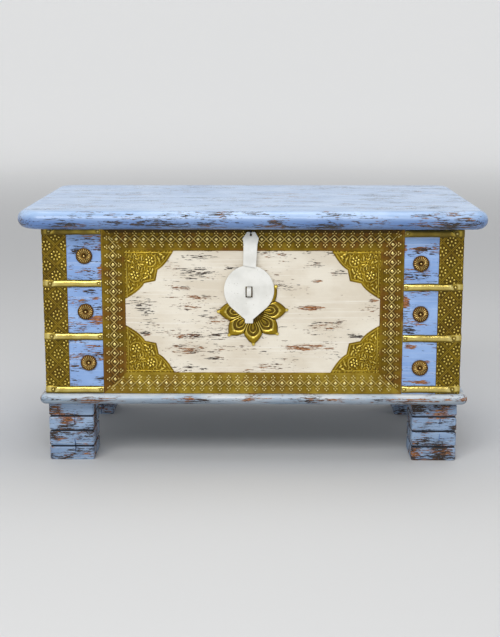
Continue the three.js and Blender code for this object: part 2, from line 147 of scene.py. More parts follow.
def relief_mesh(name, us, vs, heights, place, wrap=False, dark=0.0):
    """A closed sheet over a grid. place(u, v, out) gives points; heights are the raised face, and the
    sheet's edges and back lie at out = 0. wrap joins the last u to the first. dark adds painted shade
    where it is 1 and a painted highlight where it is below 0, beside what the hollows have."""
    nu, nv = len(us), len(vs)
    grid_u, grid_v = np.meshgrid(us, vs, indexing="ij")
    top = place(grid_u, grid_v, heights).reshape(-1, 3)
    back = place(grid_u, grid_v, np.zeros_like(heights)).reshape(-1, 3)
    index = np.arange(nu * nv).reshape(nu, nv)
    if wrap:
        index = np.vstack([index, index[:1]])
    quads = np.stack([index[:-1, :-1], index[1:, :-1], index[1:, 1:], index[:-1, 1:]], -1).reshape(-1, 4)
    faces = quads.tolist()
    if wrap:
        rims = [index[:-1, 0], index[:-1, -1]]
    else:
        rims = [np.concatenate([index[:, 0], index[-1, 1:-1], index[::-1, -1], index[0, -2:0:-1]])]
    behind = {}
    extra = []
    for rim in rims:
        for i in rim:
            behind[int(i)] = len(top) + len(extra)
            extra.append(back[i])
        for a, b in zip(rim, np.roll(rim, -1)):
            faces.append([int(a), int(b), behind[int(b)], behind[int(a)]])
    first, last = index[:, 0], index[:, -1]
    for k in range(len(first) - 1):
        face = [behind[int(i)] for i in (first[k], first[k + 1], last[k + 1], last[k])]
        if not wrap and k == 0:
            face += [behind[int(i)] for i in index[0, -2:0:-1]]
        if not wrap and k == len(first) - 2:
            face[2:2] = [behind[int(i)] for i in index[-1, 1:-1]]
        faces.append(face)
    raised = heights - softened(heights, 12)
    # dark is taken off: painted shade where it is positive, a painted highlight where it is negative
    layer = raised / (np.abs(raised).max() or 1.0) - dark
    return mesh_of(name, np.vstack([top, extra]), faces, raised=np.append(layer, np.zeros(len(extra))))


def loft_faces(levels, count):
    """The faces of a closed skin over rings of count points, with a flat face at each end."""
    faces = []
    for level in range(levels - 1):
        for i in range(count):
            a, b = level * count + i, level * count + (i + 1) % count
            faces.append([a, b, b + count, a + count])
    faces.append(list(range(count)))
    faces.append(list(range((levels - 1) * count, levels * count)))
    return faces


def loft_mesh(name, rings, **attributes):
    """A closed skin through rings of points, all with the same count."""
    rings = np.asarray(rings)
    return mesh_of(name, rings.reshape(-1, 3), loft_faces(*rings.shape[:2]), **attributes)


def evaluated_mesh(source):
    """The mesh that a curve, or a mesh with modifiers, makes. The source object is removed."""
    bpy.context.scene.collection.objects.link(source)
    graph = bpy.context.evaluated_depsgraph_get()
    mesh = bpy.data.meshes.new_from_object(source.evaluated_get(graph))
    mesh.transform(source.matrix_world)
    bpy.data.objects.remove(source)
    return mesh


# ---- material building

class Paintbox:
    """A material and short names for the nodes it is built from."""

    def __init__(self, name):
        self.material = bpy.data.materials.new(name)
        self.material.use_nodes = True
        self.tree = self.material.node_tree
        self.shader = self.tree.nodes["Principled BSDF"]

    def node(self, kind, inputs=None, **settings):
        made = self.tree.nodes.new(kind)
        for key, value in settings.items():
            setattr(made, key, value)
        for key, value in (inputs or {}).items():
            self.feed(made.inputs[key], value)
        return made

    def feed(self, socket, value):
        if isinstance(value, bpy.types.NodeSocket):
            self.tree.links.new(value, socket)
        else:
            socket.default_value = value

    def coordinates(self):
        return self.node("ShaderNodeTexCoord").outputs["Object"]

    def noise(self, scale, detail=4.0, roughness=0.55, shift=(0, 0, 0), distortion=0.0):
        """Noise with one feature to about 1 / scale millimetres, for all three axes or for each."""
        factors = [each / MM for each in (scale if isinstance(scale, tuple) else (scale,) * 3)]
        place = self.node("ShaderNodeMapping",
                          {"Vector": self.coordinates(), "Scale": factors, "Location": shift})
        settings = {"Vector": place.outputs["Vector"], "Scale": 1.0, "Detail": detail,
                    "Roughness": roughness, "Distortion": distortion}
        return self.node("ShaderNodeTexNoise", settings).outputs["Fac"]

    def math(self, operation, a, b=0.0, clamp=False):
        return self.node("ShaderNodeMath", {0: a, 1: b}, operation=operation, use_clamp=clamp).outputs[0]

    def total(self, *terms):
        """The sum of sockets and numbers, each alone or as (socket, weight)."""
        weighted = [self.math("MULTIPLY", *term) if isinstance(term, tuple) else term for term in terms]
        made = weighted[0]
        for term in weighted[1:]:
            made = self.math("ADD", made, term)
        return made

    def between(self, value, low, high, to_low=0.0, to_high=1.0):
        """value taken smoothly from low..high to to_low..to_high."""
        inputs = {"Value": value, "From Min": low, "From Max": high, "To Min": to_low, "To Max": to_high}
        made = self.node("ShaderNodeMapRange", inputs, interpolation_type="SMOOTHSTEP")
        return made.outputs["Result"]

    def mix(self, share, a, b, blend_type="MIX"):
        made = self.node("ShaderNodeMix", data_type="RGBA", blend_type=blend_type)
        for socket, value in ((made.inputs[0], share), (made.inputs[6], a), (made.inputs[7], b)):
            self.feed(socket, value)
        return made.outputs[2]

    def attribute(self, name):
        return self.node("ShaderNodeAttribute", attribute_name=name).outputs["Fac"]

    def inside(self, low, high):
        """1 inside a box of the row frame, in metres, and 0 outside it."""
        parts = self.node("ShaderNodeSeparateXYZ", {"Vector": self.coordinates()})
        within = 1.0
        for part, least, most in zip(parts.outputs, low, high):
            within = self.math("MULTIPLY", within, self.math("GREATER_THAN", part, least))
            within = self.math("MULTIPLY", within, self.math("LESS_THAN", part, most))
        return within

    def spot(self, centre, halves):
        """1 in the middle of an ellipsoid of the row frame, falling to 0 a little outside it."""
        away = self.node("ShaderNodeVectorMath", {0: self.coordinates(), 1: centre}, operation="SUBTRACT")
        scaled = self.node("ShaderNodeVectorMath", {0: away.outputs[0], 1: halves}, operation="DIVIDE")
        length = self.node("ShaderNodeVectorMath", {0: scaled.outputs[0]}, operation="LENGTH")
        return self.between(length.outputs["Value"], 0.3, 1.2, 1.0, 0.0)

    def bump(self, height, distance, strength=1.0):
        made = self.node("ShaderNodeBump", {"Height": height, "Distance": distance, "Strength": strength})
        self.feed(self.shader.inputs["Normal"], made.outputs["Normal"])

    def set(self, **values):
        for key, value in values.items():
            self.feed(self.shader.inputs[key.replace("_", " ")], value)


def colour(*rgb):
    """A linear colour from its usual 0 to 255 values."""
    return tuple(c / 255 / 12.92 if c <= 10 else ((c / 255 + 0.055) / 1.055) ** 2.4 for c in rgb) + (1.0,)


# the deep blue that the paint takes in painted shade, on the lid's lower edge and in the feet's grooves
LID_SHADE = colour(76, 114, 174)
RUST = (colour(142, 84, 46), colour(176, 120, 72))
DARK_WOOD = colour(52, 42, 36)
BLUE = (colour(130, 163, 215), colour(149, 181, 229), colour(184, 204, 236))
BLUE_LID = (colour(151, 180, 217), colour(176, 200, 231), colour(204, 218, 239))
WHITE = (colour(219, 208, 188), colour(233, 225, 208), colour(242, 237, 226))
BASE_TONES = (colour(170, 188, 206), colour(216, 220, 222), colour(244, 243, 240))
# the base's paint in painted shade, on the lower half of its edge
BASE_SHADE = colour(98, 116, 134)
FOOT_TONES = (colour(122, 148, 182), colour(150, 174, 204), colour(190, 202, 214))

GRAIN_X, GRAIN_Y = 0, 1         # the axis that the wood's grain runs along


def grained(axis, along, across):
    """Noise scales for features 1 / along mm long in the grain's direction and 1 / across mm wide."""
    scales = [across] * 3
    scales[axis] = along
    return tuple(scales)


def bare_wood(box, grain):
    """The colour of the brown wood that shows where there is no paint."""
    rings = box.noise(grained(grain, 0.004, 0.09), detail=6, roughness=0.6, distortion=0.4)
    pores = box.noise(grained(grain, 0.03, 1.1), detail=3)
    base = box.mix(box.between(rings, 0.35, 0.65), colour(104, 70, 44), colour(148, 108, 72))
    return box.mix(box.between(pores, 0.55, 0.72), base, colour(70, 46, 30))


def distressed_paint(name, tones, grain=GRAIN_X, worn=0.0, rust=0.0, flecks=1.0, raw=None, field=None,
                     gloss=0.5, coat=0.15, shade_tone=LID_SHADE, places=()):
    """Brushed paint worn through to the wood in short dashes along the grain, gathered in clusters.
    tones are the paint's deep, usual and pale colours. worn moves how much has gone, rust how much of
    that is brown and not dark, and flecks how small the dashes are. raw is a box that was never
    painted; field is a box painted in other tones, with its own worn and rust. The shade tone is the
    painted shade that the paint takes where the mesh marks it as shaded: the lower half of a rounded
    edge and, near black, the grooves and glue line of the feet. places lists spots on the case front
    that are worn and how brown they are, instead of leaving all of it to chance."""
    box = Paintbox(name)

    def noise(along, across, detail, roughness=0.55, shift=(0, 0, 0)):
        return box.noise(grained(grain, along, across), detail, roughness, shift)

    clusters = noise(0.011, 0.034, 4, 0.62)
    dashes = noise(0.045 * flecks, 0.5 * flecks, 3, 0.62, (7.3, 1.9, 4.1))
    specks = noise(0.15 * flecks, 0.9 * flecks, 2, 0.6, (3.1, 8.2, 6.6))
    browns = noise(0.014, 0.05, 5, 0.7, (11.0, 5.0, 2.0))
    edge_wear, grime = box.attribute("wear"), box.attribute("grime")

    def brushed(deep, usual, pale):
        strokes = noise(0.007, 0.4, 4, shift=(2.0, 9.0, 5.0))
        cloud = noise(0.012, 0.024, 3, shift=(4.0, 3.0, 8.0))
        tone = box.mix(box.between(cloud, 0.35, 0.68), deep, usual)
        return box.mix(box.between(strokes, 0.52, 0.8, 0.0, 0.8), tone, pale)

    paint = brushed(*tones)
    amount, brown = worn, rust
    if field:
        low, high, field_tones, field_worn, field_rust = field
        within = box.inside(low, high)
        paint = box.mix(within, paint, brushed(*field_tones))
        amount = box.between(within, 0.0, 1.0, worn, field_worn)
        brown = box.between(within, 0.0, 1.0, rust, field_rust)
    # painted shade: the paint goes to the shade tone where the mesh marks it as shaded
    paint = box.mix(box.math("MULTIPLY", grime, 0.95, clamp=True), paint, shade_tone)

    gathered = box.between(clusters, 0.44, 0.62, 0.0, 0.13)
    for x, z, half_x, half_z, strength, browner in places:
        spot = box.spot(on_front(x, 0, z), (half_x * MM, 1.0, half_z * MM))
        ragged = box.between(clusters, 0.2, 0.5, 0.75 * strength, strength)
        gathered = box.math("MAXIMUM", gathered, box.math("MULTIPLY", spot, ragged))
        brown = box.math("ADD", brown, box.math("MULTIPLY", spot, browner))
    score = box.total((dashes, 0.62), (specks, 0.38), gathered, (edge_wear, 0.11), amount)
    gone = box.between(score, 0.695, 0.708)
    thin = box.between(score, 0.64, 0.71)
    darkness = box.between(box.total((specks, 0.4), (browns, 1.2), brown), 0.8, 0.88, 1.0, 0.0)
    darkness = box.math("MAXIMUM", darkness, box.between(specks, 0.53, 0.6, 0.0, 0.7))
    rusty = box.mix(box.between(dashes, 0.45, 0.62), *RUST)
    under = box.mix(darkness, rusty, DARK_WOOD)
    # bare wood in the painted shade is darker too
    under = box.mix(box.between(grime, 0.3, 0.9, 0.0, 0.6), under, colour(34, 32, 36))
    surface = box.mix(box.math("MULTIPLY", thin, 0.22), paint, under)
    surface = box.mix(gone, surface, under)
    # near black: painted shade in the feet's grooves and along their glue line
    surface = box.mix(box.between(grime, 1.1, 1.4), surface, colour(34, 40, 50))

    if raw:
        bare = box.inside(*raw)
        surface = box.mix(bare, surface, bare_wood(box, grain))
        gone = box.math("MULTIPLY", gone, box.math("SUBTRACT", 1.0, bare))
    rough = box.between(noise(0.02, 0.3, 3), 0.3, 0.7, gloss - 0.08, gloss + 0.1)
    box.set(Base_Color=surface, Roughness=box.total(rough, (gone, 0.25)))
    box.set(Coat_Weight=coat, Coat_Roughness=0.24)

    brush, swell = noise(0.015, 0.8, 4, 0.6), box.noise(0.03, detail=2)
    box.bump(box.total((brush, 0.22), (swell, 0.5), (gone, -0.3)), MM)
    return box.material


def raw_wood(name, grain):
    box = Paintbox(name)
    box.set(Base_Color=bare_wood(box, grain), Roughness=0.72)
    box.bump(box.noise(grained(grain, 0.02, 0.9), detail=5), 0.4 * MM)
    return box.material


def old_brass(name, tarnish, roughness, depth, *tones):
    """Brass that is dark in the hollows, rubbed bright on what stands up, and stained in patches; its
    raised attribute also brings painted shade, which takes the dirty tone, and painted highlights, which
    take the bright one. depth is how dark the hollows and painted shade go; tones are deep, usual,
    bright, stained, and dirty and shaded."""
    deep, usual, bright, patina, dirt_and_shade_tone = (colour(*tone) for tone in tones)
    box = Paintbox(name)
    raised = box.attribute("raised")
    cloud = box.noise(0.03, detail=4, roughness=0.6)
    specks = box.noise(0.5, detail=3, shift=(3.0, 1.0, 7.0))
    metal = box.mix(box.between(cloud, 0.35, 0.65), deep, usual)
    stained = box.between(box.noise((0.012, 0.012, 0.02), detail=6, roughness=0.65, shift=(5.0, 5.0, 1.0)),
                          0.47, 0.6, 0.0, tarnish)
    metal = box.mix(stained, metal, patina)
    # bright where the relief stands up and where a painted highlight is asked for
    metal = box.mix(box.between(raised, 0.05, 0.6), metal, bright)
    # dark and dirty in the hollows and in painted shade
    hollow_and_shade = box.between(raised, -0.32, 0.04, 1.0, 0.0)
    dirt_and_shade = box.math("ADD", hollow_and_shade, box.between(specks, 0.58, 0.75, 0.0, 0.4), clamp=True)
    metal = box.mix(box.math("MULTIPLY", dirt_and_shade, depth), metal, dirt_and_shade_tone)
    box.set(Base_Color=metal, Metallic=box.between(dirt_and_shade, 0.0, 1.0, 0.94, 0.7))
    rough = box.between(cloud, 0.3, 0.7, roughness - 0.06, roughness + 0.08)
    box.set(Roughness=box.total(rough, (dirt_and_shade, 0.22)))
    dents, scratches = box.noise(0.11, detail=3, shift=(8.0, 2.0, 3.0)), box.noise(1.4, detail=3)
    box.bump(box.total((dents, 0.8), (scratches, 0.05)), MM)
    return box.material


def painted_iron(name):
    """Thick white brush paint over hammered iron."""
    box = Paintbox(name)
    cloud = box.noise(0.04, detail=4)
    paint = box.mix(box.between(cloud, 0.3, 0.7), colour(221, 220, 213), colour(236, 235, 229))
    grime = box.between(box.noise(0.3, detail=5, shift=(1.0, 2.0, 3.0)), 0.66, 0.74, 0.0, 0.6)
    box.set(Base_Color=box.mix(grime, paint, colour(150, 140, 126)), Roughness=0.42)
    strokes, swell = box.noise((0.5, 0.5, 0.06), detail=4), box.noise(0.05, detail=2)
    box.bump(box.total((strokes, 0.12), (swell, 0.7)), MM)
    return box.material


def dull_steel(name, light, dark):
    box = Paintbox(name)
    cloud = box.noise(0.08, detail=5)
    tone = box.mix(box.between(cloud, 0.4, 0.65), light, dark)
    box.set(Base_Color=tone, Metallic=0.9, Roughness=box.between(cloud, 0.35, 0.7, 0.34, 0.55))
    box.bump(box.noise(0.9, detail=3), 0.06 * MM)
    return box.material


# ---- materials of this chest

BOARD = board_high.y - board_low.y
SKIN = 0.2 * MM                 # how far the bare wood's box reaches into the boards, to take in their faces
INSIDE = ((board_low.x + BOARD - SKIN, board_high.y - SKIN, BOTTOM - 0.01),
          (board_high.x - BOARD + SKIN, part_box("back_board")[0].y + SKIN, board_high.z + 0.02))
UNDER_LID = (INSIDE[0], INSIDE[1][:2] + (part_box("lid_board_front")[0].z + 0.3 * MM,))
# the box of the off-white field, whose edges lie under the border
FIELD = (tuple(on_front(front_box("border_left")[0] + 12, 5, front_box("border_bottom")[2] + 12)),
         tuple(on_front(front_box("border_right")[1] - 12, -5, front_box("border_top")[3] - 12)))

# x and z of the middle, half width, half height, how worn and how much browner than elsewhere
FRONT_WEAR = (
    (100, 152, 36, 6, 0.21, 0.22), (92, 83, 62, 8, 0.2, 0.12), (148, 213, 21, 7, 0.19, -0.05),
    (110, 199, 14, 4, 0.19, -0.1), (108, 226, 30, 8, 0.12, 0.0), (138, 122, 40, 16, 0.13, 0.0),
    (178, 103, 19, 8, 0.19, -0.1), (208, 166, 13, 5, 0.19, 0.1), (-95, 240, 48, 8, 0.14, -0.1),
    (-92, 217, 44, 10, 0.14, -0.1), (-122, 186, 28, 6, 0.19, 0.12), (-95, 171, 48, 6, 0.16, 0.05),
    (-184, 107, 13, 8, 0.19, -0.1), (-108, 102, 38, 8, 0.2, 0.05), (-115, 78, 44, 15, 0.15, 0.12),
    (-65, 63, 29, 4, 0.18, -0.1), (-185, 150, 28, 20, 0.13, -0.05), (60, 60, 40, 5, 0.14, 0.1),
    (-262, 256, 20, 9, 0.19, -0.1), (-302, 252, 12, 10, 0.18, -0.1), (-259, 214, 12, 18, 0.2, 0.2),
    (-280, 180, 18, 6, 0.18, -0.1), (-272, 169, 14, 4, 0.2, 0.2), (-268, 131, 23, 12, 0.22, 0.2),
    (-277, 84, 20, 4, 0.22, 0.1), (-259, 68, 9, 8, 0.19, -0.1), (-264, 26, 17, 6, 0.18, -0.1),
    (289, 255, 24, 6, 0.22, 0.05), (257, 256, 9, 14, 0.22, 0.1), (286, 207, 17, 7, 0.15, -0.1),
    (261, 164, 13, 14, 0.27, 0.25), (270, 113, 15, 11, 0.19, -0.1), (255, 207, 7, 14, 0.21, 0.1),
    (273, 84, 15, 6, 0.24, 0.25), (298, 57, 15, 5, 0.24, 0.2), (292, 21, 22, 5, 0.24, 0.2),
    (255, 40, 7, 20, 0.21, 0.05), (255, 84, 6, 10, 0.22, 0.1))
front_paint = distressed_paint("front_paint", BLUE, worn=0.05, raw=INSIDE, gloss=0.58, places=FRONT_WEAR,
                               field=(*FIELD, WHITE, 0.026, 0.01))
case_paint = distressed_paint("case_paint", BLUE, worn=0.03, raw=INSIDE, gloss=0.58)
base_paint = distressed_paint("base_paint", BASE_TONES, worn=0.05, rust=0.07, raw=INSIDE, shade_tone=BASE_SHADE)
end_paint = distressed_paint("end_paint", BLUE, grain=GRAIN_Y, worn=0.03, raw=INSIDE, gloss=0.58)
lid_paint = distressed_paint("lid_paint", BLUE_LID, worn=0.026, rust=-0.03, raw=UNDER_LID, gloss=0.34,
                             coat=0.45)
foot_paint = distressed_paint("foot_paint", FOOT_TONES, worn=0.09, flecks=1.1, gloss=0.55)
batten_wood = raw_wood("batten_wood", GRAIN_Y)

# tarnish, roughness, how dark the hollows and painted shade go; deep, usual, bright, stained, and dirty and
# shaded tones
BRASS_LOOKS = {
    "strip_brass": (0.5, 0.36, 0.8,
                    (106, 86, 16), (136, 112, 26), (222, 198, 100), (104, 76, 20), (56, 44, 6)),
    "spandrel_brass": (0.35, 0.36, 0.72,
                       (140, 112, 16), (170, 140, 30), (246, 222, 112), (122, 92, 16), (58, 42, 2)),
    "lotus_brass": (0.4, 0.36, 0.8,
                    (142, 116, 26), (166, 138, 36), (230, 206, 104), (122, 94, 20), (82, 62, 8)),
    "border_brass": (0.7, 0.36, 0.85,
                     (118, 94, 22), (146, 120, 36), (236, 216, 140), (122, 78, 34), (60, 44, 10)),
    "band_brass": (0.35, 0.27, 0.7,
                   (170, 146, 56), (196, 172, 78), (226, 208, 130), (142, 116, 44), (70, 56, 14)),
    "rosette_brass": (0.6, 0.3, 0.7,
                      (120, 86, 30), (158, 118, 44), (232, 202, 124), (116, 76, 34), (54, 36, 10)),
    "bright_border": (0.5, 0.36, 0.7,
                      (146, 120, 34), (178, 152, 56), (244, 228, 160), (136, 100, 40), (80, 62, 14)),
}
brass = {name: old_brass(name, *look) for name, look in BRASS_LOOKS.items()}
white_iron = painted_iron("white_iron")
hinge_steel = dull_steel("hinge_steel", colour(150, 150, 148), colour(104, 98, 90))
dark_iron = dull_steel("dark_iron", colour(74, 72, 70), colour(44, 42, 40))


# ---- boards, base, lid and feet

def rounded_outline(width, depth, radii, spacing):
    """Points round a rectangle with rounded corners, and their outward directions. radii are for the
    back right, back left, front left and front right corners."""
    corners = np.array(((1, 1), (-1, 1), (-1, -1), (1, -1)))
    half = np.array((width, depth)) / 2
    points, normals = [], []
    for quarter, radius in enumerate(radii):
        after = (quarter + 1) % 4
        turns = max(6, int(radius * math.pi / 2 / 3))
        for i in range(turns + 1):
            angle = (quarter + i / turns) * math.pi / 2
            normals.append((math.cos(angle), math.sin(angle)))
            points.append(corners[quarter] * (half - radius) + radius * np.array(normals[-1]))
        start = points[-1]
        end = corners[after] * (half - radii[after]) + radii[after] * np.array(normals[-1])
        count = int(np.linalg.norm(end - start) / spacing)
        points += [start + i / count * (end - start) for i in range(1, count)]
        normals += [normals[-1]] * (count - 1)
    return np.array(points), np.array(normals)


def rounded_panel(name, nodes, radii, seed, material, slot, body, nose_at, shaded_below, chipped=()):
    """Boards joined edge to edge whose whole outer edge is a half round, with small knocks in it. It is
    worn most nose_at degrees up the edge, and given painted shade below its middle. chipped lists places
    on the edge, as shares of the half width and depth, with how far the chipping reaches and how strong it
    is."""
    boxes = [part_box(node) for node in nodes]
    low = Vector(min(b[0][i] for b in boxes) for i in range(3))
    high = Vector(max(b[1][i] for b in boxes) for i in range(3))
    width, depth, thickness = ((high - low) / MM)[:]
    centre = (low + high) / 2
    outline, normals = rounded_outline(width, depth, radii, 6.0)
    xs, ys = outline.T
    half, knock_depth, levels = thickness / 2, 0.35, 18
    rings, wear, grime = [], [], []
    for angle in [(i / levels - 0.5) * math.pi for i in range(levels + 1)]:
        zs = np.full(len(xs), half * math.sin(angle))
        knock = knock_depth * (0.5 + 0.5 * wobble(seed, xs, ys, zs, size=70)) * math.cos(angle) ** 2
        ring = outline - normals * (half * (1 - math.cos(angle)) + knock)[:, None]
        rings.append(np.column_stack([ring, zs]))
        nose = math.exp(-((math.degrees(angle) - nose_at) / 26) ** 2)
        worn_here = nose * (0.75 + 0.4 * wobble(seed + 1, xs, ys, size=160))
        for x, y, reach, strength in chipped:
            away = np.hypot(xs - x * width / 2, ys - y * depth / 2)
            worn_here += strength * math.cos(angle) * np.exp(-(away / reach) ** 2)
        wear.append(worn_here)
        # painted shade on the lower half of the edge
        below = float(step(-math.degrees(angle), -50, 16))
        grime.append(shaded_below * below * (0.9 + 0.1 * wobble(seed + 2, xs, ys, size=200)))
    panel = loft_mesh(name, np.array(rings) * MM + np.array(centre), wear=np.concatenate(wear),
                      grime=np.concatenate(grime))
    for node, (board_min, board_max) in zip(nodes, boxes):
        bm = bmesh.new()
        bm.from_mesh(panel)
        for y, direction in ((board_min.y, -1), (board_max.y, 1)):
            if low.y + MM < y < high.y - MM:
                geometry = bm.verts[:] + bm.edges[:] + bm.faces[:]
                cut = bmesh.ops.bisect_plane(bm, geom=geometry, plane_co=(0, y, 0),
                                             plane_no=(0, direction, 0), clear_outer=True)
                edges = [e for e in cut["geom_cut"] if isinstance(e, bmesh.types.BMEdge)]
                bmesh.ops.edgeloop_fill(bm, edges=edges)
        board = bpy.data.meshes.new(node)
        bm.to_mesh(board)
        bm.free()
        finished(node.replace("board", "plank"), board, material, body, (node,), slot)
    bpy.data.meshes.remove(panel)


def foot_mesh(node, seed):
    """A block of two glued pieces with sawn grooves round it, worn arrises and an open glue line."""
    low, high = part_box(node)
    half, height, ease = (high.x - low.x) / 2 / MM, (high.z - low.z) / MM, 2.2
    crack = half * (0.2 + 0.25 * wobble(seed, 0.0, size=10))
    plain = list(np.linspace(-half + ease, half - ease, 26))
    marks = sorted([crack - 1.1, crack, crack + 1.1] + plain)
    sides = [(turn, along) for turn in range(4) for along in (plain if turn % 2 else marks)]
    grooves = (25.0, 53.5, 80.0)
    levels = [v for v in np.linspace(0, height, 28) if all(abs(v - g) > 3.4 for g in grooves)]
    levels += [g + side * away for g in grooves for side in (-1, 1) for away in (1.2, 1.5, 1.8, 3.0)]
    levels = sorted(levels + [0.8, height - 0.8])
    rings, wear, grime = [], [], []
    for z in levels:
        near = min(abs(z - g) for g in grooves)
        inset = 3.2 if near < 1.35 else 1.3 * (1 - float(step(min(near, z + 1.2), 1.2, 4.0))) ** 2
        ring = []
        for turn, along in sides:
            glued = turn % 2 == 0 and abs(along - crack) < 1.3
            open_line = max(0.0, 1.8 * (0.1 + float(wobble(seed + 5, z, size=60))))
            open_line *= float(glued and along == crack)
            out = half - inset - 0.2 * (1 + float(wobble(seed + turn, along, z, size=24))) - open_line
            wander = float(wobble(seed + 2, z, size=45)) if glued else 0.0
            a = (along + wander) * (half - inset) / half
            angle = turn * math.pi / 2
            x = a * math.cos(angle) + out * math.sin(angle)
            y = a * math.sin(angle) - out * math.cos(angle)
            ring.append((x, y, z))
            wear.append(0.3 + 0.5 * float(wobble(seed + 7, x, y, z, size=60)) + 0.3 * (near < 4))
            # painted shade in the grooves and along the open glue line
            grime.append(1.5 if near < 1.7 else 1.3 * (open_line > 0.3))
        rings.append(ring)
    centre = (low + high) / 2
    points = np.array(rings) * MM + np.array((centre.x, centre.y, low.z))
    return loft_mesh(node, points, wear=wear, grime=grime)


def add_woodwork():
    for name, radii, seed, material, slot, body, nose_at, shaded_below, chipped in (
            ("lid", (30, 40, 45, 27), 11, lid_paint, "lid_painted_wood", "lid", -26, 0.95,
             ((0.9, -1, 36, 1.2), (0.66, -1, 28, 0.5), (0.47, -1, 28, 0.6), (0.32, -1, 28, 0.9),
              (0.1, -1, 26, 1.0), (-0.12, -1, 20, 0.9))),
            ("base", (12, 12, 12, 12), 23, base_paint, "blue_painted_wood", "case", 5, 0.8, ())):
        nodes = [f"{name}_board_{place}" for place in ("front", "middle", "back")]
        rounded_panel(name, nodes, radii, seed, material, slot, body, nose_at, shaded_below, chipped)
    for seed, node in enumerate(("front_left_foot", "front_right_foot", "back_left_foot", "back_right_foot")):
        mesh = foot_mesh(node, 40 + 10 * seed)
        finished("grooved_" + node, mesh, foot_paint, "case", (node,), "blue_painted_wood")
    repainted("front_board", front_paint)
    repainted("back_board", case_paint)
    for side in ("left", "right"):
        repainted(side + "_end_board", end_paint)
        repainted("lid_batten_" + side, batten_wood)


# ---- raised patterns

def flower(du, dv, petals, radius, long, wide, heart, turn=0.0):
    """Beads set like petals round a middle bead."""
    r, angle = np.hypot(du, dv), np.arctan2(dv, du) - turn
    sector = 2 * math.pi / petals
    off = (angle / sector - np.round(angle / sector)) * sector
    along, across = r * np.cos(off) - radius, r * np.sin(off)
    beads = np.sqrt(np.clip(1 - (along / long) ** 2 - (across / wide) ** 2, 0, 1))
    return np.maximum(beads, dome(r, heart))


def wrapped(value, pitch):
    """The distance from the nearest of marks that stand a pitch apart."""
    return (value + pitch / 2) % pitch - pitch / 2


def highest(*shapes):
    """The upper surface of several shapes."""
    return reduce(np.maximum, shapes)


def strip_heights(at, z, first, column, level):
    """Dotted flowers in a double-lined lattice of diamonds; at runs round the corner of the case.
    One flower stands first mm from the corner at the height level, and the columns are column apart."""
    row, a = 34.5, np.abs(at)
    flowers = [flower(wrapped(a - first - shift * column, 2 * column),
                      wrapped(z - level - shift * row / 2, row), 8, 7.0, 2.0, 1.2, 1.7, turn=math.pi / 8)
               for shift in (0, 1)]
    reach = 1 / math.hypot(1 / column, 2 / row)
    du, dv = wrapped(a - first, 2 * column), wrapped(z - level, row)
    off = (np.abs(du) / column + np.abs(dv) / (row / 2) - 1) * reach
    relief = highest(*flowers, 0.62 * highest(dome(off - 1.1, 0.7), dome(off + 1.1, 0.7)))
    relief *= step(np.minimum(CORNER_REACH - a, np.minimum(z, CASE_HEIGHT - z)), 0.4, 1.6)
    return 0.5 + relief + 0.22 * wobble(3, a, z, size=50)


def border_heights(s, t):
    """A chain of linked diamonds with raised middles, and a three-dot sprig beyond each tip.
    s runs along the strip and t across it, from its middle line."""
    pitch, tall = 15.5, 7.0
    du, t = np.abs(wrapped(s, pitch)), np.abs(t)
    slope = math.cos(math.atan2(tall, pitch / 2))
    sides = dome((t - tall * (1 - du / (pitch / 2))) * slope, 1.1)
    crossing = dome(t - 0.9 * (pitch / 2 - du) - 0.2, 0.5) * (du > pitch * 0.36)
    middle = np.clip(1 - (du + t) / 4.8, 0, 1)
    dots = [dome(np.hypot(du - sideways, t - outward), radius)
            for outward, sideways, radius in ((10.0, 2.5, 1.3), (13.0, 0.0, 1.4))]
    stem = dome(du, 0.6) * (t > tall) * (t < 10.5)
    return highest(0.75 * highest(sides, 0.6 * crossing), 1.5 * np.minimum(middle * 1.6, 1.0),
                   0.5 * stem, *dots)


def spandrel_outline():
    """The spandrel's scalloped edge as an angle and a reach from its square corner."""
    def bowed(a, c, b):
        t = np.linspace(0, 1, 24)[:, None]
        return (1 - t) ** 2 * np.array(a) + 2 * t * (1 - t) * np.array(c) + t ** 2 * np.array(b)

    def straight(a, b):
        t = np.linspace(0, 1, 12)[:, None]
        return (1 - t) * np.array(a) + t * np.array(b)

    leg, near, far, lobe = 84.0, 33.0, 56.5, (52.5, 52.5)
    line = np.vstack([bowed((leg, 0), (69.5, 26.5), (far, near)), straight((far, near), lobe),
                      straight(lobe, (near, far)), bowed((near, far), (26.5, 69.5), (0, leg))])
    return np.arctan2(line[:, 1], line[:, 0]), np.hypot(line[:, 0], line[:, 1])


def leaf(u, v, cu, cv, degrees, long, wide):
    """A raised leaf: pointed at both ends."""
    angle = math.radians(degrees)
    along = (u - cu) * math.cos(angle) + (v - cv) * math.sin(angle)
    across = -(u - cu) * math.sin(angle) + (v - cv) * math.cos(angle)
    width = wide * np.clip(1 - (along / long) ** 2, 1e-6, 1)
    return np.sqrt(np.clip(1 - (across / width) ** 2, 0, 1)) * (np.abs(along) < long)


def arc_ridge(u, v, cu, cv, radius, start, end, half_width):
    """A raised line along part of a circle, between two angles in degrees."""
    angle = np.degrees(np.arctan2(v - cv, u - cu)) % 360
    on = ((angle - start) % 360) < ((end - start) % 360)
    return dome(np.hypot(u - cu, v - cv) - radius, half_width) * on


